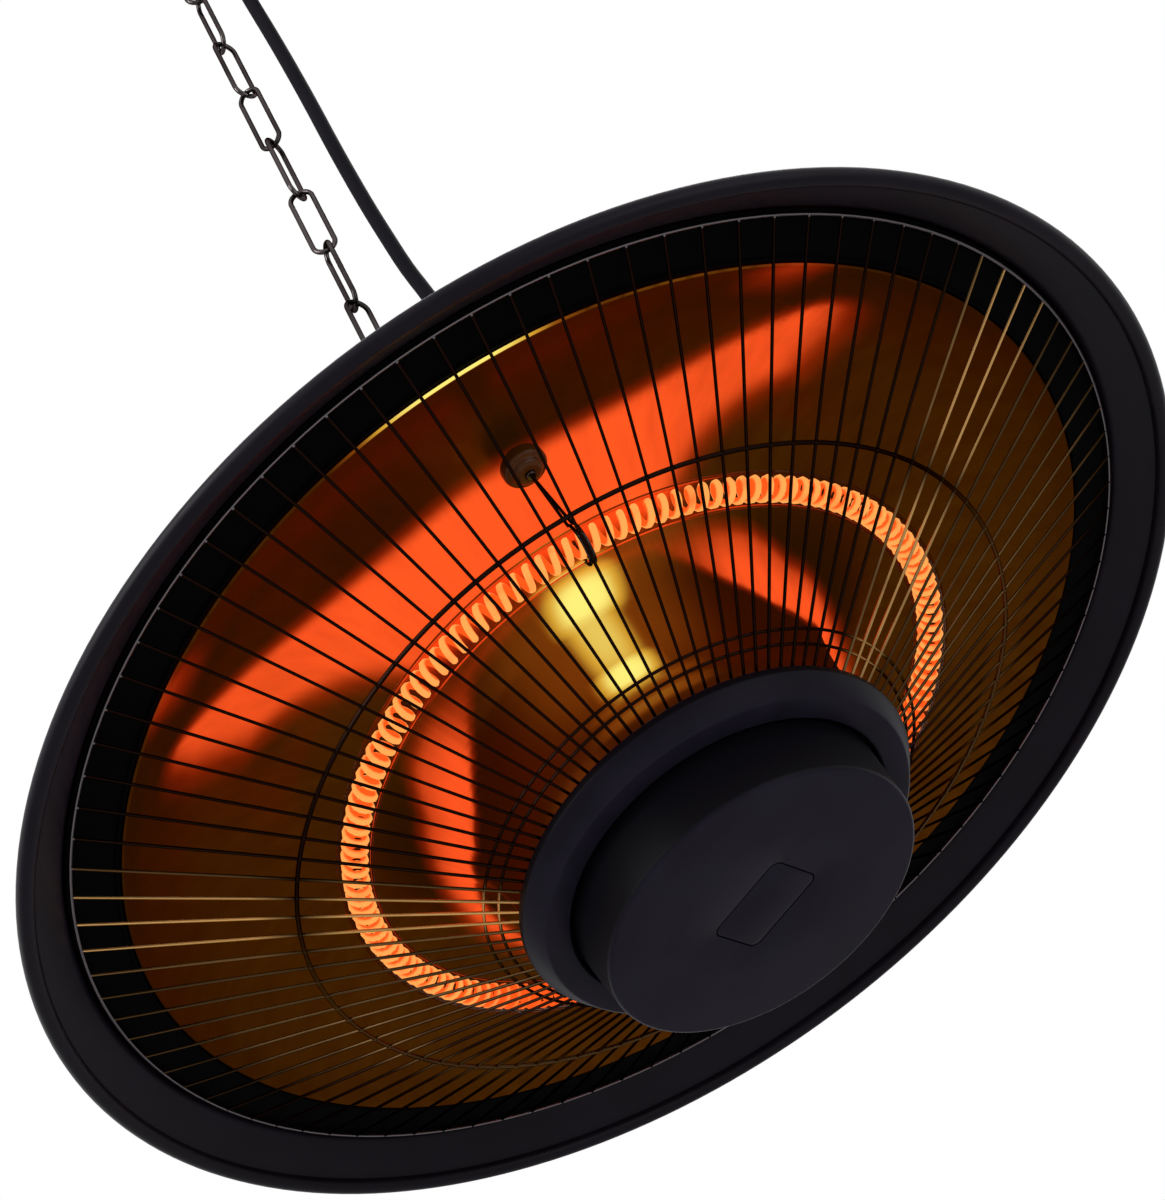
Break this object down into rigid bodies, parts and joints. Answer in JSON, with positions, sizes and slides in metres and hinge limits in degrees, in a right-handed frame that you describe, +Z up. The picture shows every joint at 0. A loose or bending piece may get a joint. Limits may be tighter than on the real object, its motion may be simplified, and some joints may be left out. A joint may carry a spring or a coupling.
{
  "type": "hanging infrared patio heater",
  "caption": "Ceiling-hung infrared heater: domed black shade, gold reflector and ring-shaped tube behind a radial wire guard with a round hub, hung on a link chain with a snap hook.",
  "frame": {"origin": "centre of the ceiling plate's upper face, against the ceiling", "axes": "+Z up; the chain leans 1.5 degrees off -Z about Y, its foot towards -X; the heater hangs tilted about Y, its +X side higher"},
  "size_m": [0.4225, 0.4244, 0.6499],
  "materials": {
    "black_steel": "matt black powder coat",
    "hub_black": "matt charcoal coat",
    "gold_reflector": "gold anodised, bright",
    "guard_wire": "satin black",
    "chain_metal": "gunmetal plating, bright",
    "zinc": "zinc plated",
    "quartz": "clear quartz with a warm cast",
    "filament": "resistance wire, glowing orange",
    "ceramic": "unglazed ceramic",
    "rubber": "matt black",
    "black_plastic": "fine texture",
    "sleeve": "braided glass sleeve",
    "pin_brass": "nickel plated"
  },
  "bodies": {
    "ceiling_mount": {"ceiling_plate": "black_steel", "ceiling_hook": "chain_metal", "ceiling_screw_1": "zinc", "ceiling_screw_2": "zinc"},
    "top_link": {"chain_link_01": "chain_metal"},
    "chain": {"chain_link_02": "chain_metal", "chain_link_03": "chain_metal", "chain_link_04": "chain_metal", "chain_link_05": "chain_metal", "chain_link_06": "chain_metal", "chain_link_07": "chain_metal", "chain_link_08": "chain_metal", "chain_link_09": "chain_metal", "chain_link_10": "chain_metal", "snap_hook": "chain_metal", "power_cord": "rubber", "cord_coil": "rubber", "cord_tie": "rubber", "plug_body": "rubber", "plug_pin_1": "pin_brass", "plug_pin_2": "pin_brass"},
    "gate": {"snap_gate": "zinc"},
    "heater": {"shade": "black_steel", "ledge_ring": "black_steel", "reflector": "gold_reflector", "wire_guard": "guard_wire", "hub_collar": "hub_black", "hub_cup": "hub_black", "hub_badge_plate": "hub_black", "hub_screw": "zinc", "centre_post": "zinc", "post_top_nut": "zinc", "post_hub_nut": "zinc", "reflector_washer": "zinc", "post_reflector_nut": "zinc", "quartz_tube": "quartz", "filament": "filament", "end_cap_right": "ceramic", "end_cap_left": "ceramic", "tube_bracket_right": "zinc", "tube_bracket_left": "zinc", "lead_right": "sleeve", "lead_left": "sleeve", "support_bead": "ceramic", "support_wire": "chain_metal", "thermal_cutout": "zinc", "top_housing": "black_steel", "housing_screw_1": "zinc", "housing_screw_2": "zinc", "housing_screw_3": "zinc", "terminal_block": "ceramic", "terminal_screw_1": "zinc", "terminal_screw_2": "zinc", "eye_bolt": "zinc", "eye_nut": "zinc", "switch_frame": "black_plastic", "cord_gland": "rubber", "gland_locknut": "zinc"},
    "rocker": {"switch_rocker": "black_plastic"}
  },
  "joints": [
    {"name": "hook_swing", "type": "hinge", "parent": "ceiling_mount", "child": "top_link", "pos_m": [0, 0, -0.035], "axis": [1, 0, 0], "range_deg": [-25, 25]},
    {"name": "chain_swing", "type": "hinge", "parent": "top_link", "child": "chain", "pos_m": [-0.00089, 0, -0.06919], "axis": [0, 1, 0], "range_deg": [-20, 20]},
    {"name": "heater_tilt", "type": "hinge", "parent": "chain", "child": "heater", "pos_m": [-0.01009, 0, -0.42032], "axis": [0, 1, 0], "range_deg": [-30, 30], "deforming": ["power_cord"]},
    {"name": "gate_open", "type": "hinge", "parent": "chain", "child": "gate", "pos_m": [-0.0094, 0.0085, -0.39383], "axis": [-0.9997, 0, 0.0262], "range_deg": [0, 25], "stiffness_Nm_per_rad": 0.02, "springref_deg": -14.32},
    {"name": "switch_rocker", "type": "hinge", "parent": "heater", "child": "rocker", "pos_m": [-0.03795, 0, -0.44311], "axis": [0, 1, 0], "range_deg": [0, 16]}
  ]
}
